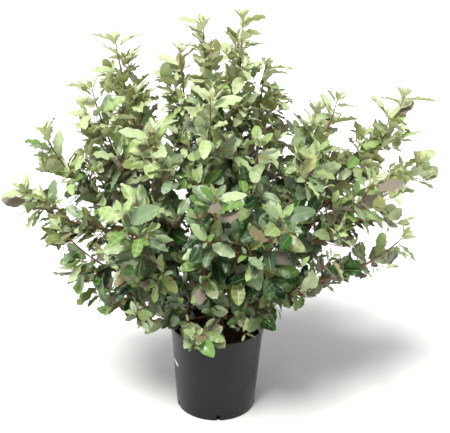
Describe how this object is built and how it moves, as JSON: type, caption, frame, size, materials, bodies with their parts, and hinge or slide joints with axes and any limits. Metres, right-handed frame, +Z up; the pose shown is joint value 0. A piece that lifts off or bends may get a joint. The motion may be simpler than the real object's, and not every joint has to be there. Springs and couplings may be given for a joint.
{
  "type": "potted elaeagnus shrub",
  "caption": "Dense evergreen elaeagnus shrub, several-stemmed from a short trunk, with silvery grey-green oval leaves and pale young tips, standing in a round black nursery pot.",
  "frame": {"origin": "centre of the pot's flat underside, on the ground that it stands on", "axes": "+Z up through the plant; -Y towards the side that faces the viewer; +X to the viewer's right"},
  "size_m": [1.2, 0.8964, 1.1997],
  "materials": {
    "pot_black": "matt moulded plastic with faint flow marks",
    "compost_brown": "loose moist compost with bark chips",
    "trunk_grey": "rough grey-brown bark with shallow furrows",
    "bark_russet": "smooth rusty brown young bark",
    "leaf_grey_green": "leathery leaf with a silvery bloom",
    "leaf_cool_green": "leathery leaf with a silvery bloom",
    "leaf_pale_green": "young leathery leaf, pale and scurfy",
    "leaf_deep_green": "older leathery leaf with a slight sheen"
  },
  "bodies": {
    "root": {"pot": "pot_black", "compost": "compost_brown", "trunk": "trunk_grey", "stem_top": "bark_russet", "bough_top_left": "bark_russet", "bough_top_back_left": "bark_russet", "bough_top_right": "bark_russet", "stem_left_top": "bark_russet", "bough_left_outer": "bark_russet", "bough_far_left": "bark_russet", "bough_far_left_low": "bark_russet", "stem_front_left": "bark_russet", "bough_front_left_high": "bark_russet", "stem_front": "bark_russet", "bough_front_top": "bark_russet", "bough_front_right": "bark_russet", "stem_right_top": "bark_russet", "bough_right_front": "bark_russet", "bough_far_right": "bark_russet", "bough_far_right_out": "bark_russet", "bough_far_right_front": "bark_russet", "stem_back_left": "bark_russet", "stem_back_right": "bark_russet", "bough_back": "bark_russet", "foliage_top": "leaf_grey_green", "foliage_top_left": "leaf_cool_green", "foliage_top_back_left": "leaf_pale_green", "foliage_top_right": "leaf_deep_green", "foliage_left_top": "leaf_grey_green", "foliage_left_outer": "leaf_cool_green", "foliage_far_left": "leaf_pale_green", "foliage_far_left_low": "leaf_deep_green", "foliage_front_left": "leaf_grey_green", "foliage_front_left_high": "leaf_cool_green", "foliage_front": "leaf_pale_green", "foliage_front_top": "leaf_deep_green", "foliage_front_right": "leaf_grey_green", "foliage_right_top": "leaf_cool_green", "foliage_right_front": "leaf_pale_green", "foliage_far_right": "leaf_deep_green", "foliage_far_right_out": "leaf_grey_green", "foliage_far_right_front": "leaf_cool_green", "foliage_back_left": "leaf_pale_green", "foliage_back_right": "leaf_deep_green", "foliage_back": "leaf_grey_green", "foliage_front_right_high": "leaf_cool_green", "foliage_far_left_front": "leaf_pale_green", "foliage_far_right_droop": "leaf_deep_green", "foliage_front_mid": "leaf_grey_green", "foliage_left_mid": "leaf_cool_green", "foliage_right_mid": "leaf_pale_green", "foliage_back_mid": "leaf_deep_green", "foliage_far_left_droop": "leaf_grey_green", "foliage_front_right_low": "leaf_cool_green", "foliage_back_left_low": "leaf_pale_green", "foliage_back_right_low": "leaf_deep_green", "foliage_back_low": "leaf_grey_green", "foliage_front_low": "leaf_cool_green", "foliage_front_left_low": "leaf_pale_green", "foliage_front_right_foot": "leaf_deep_green"}
  },
  "joints": []
}
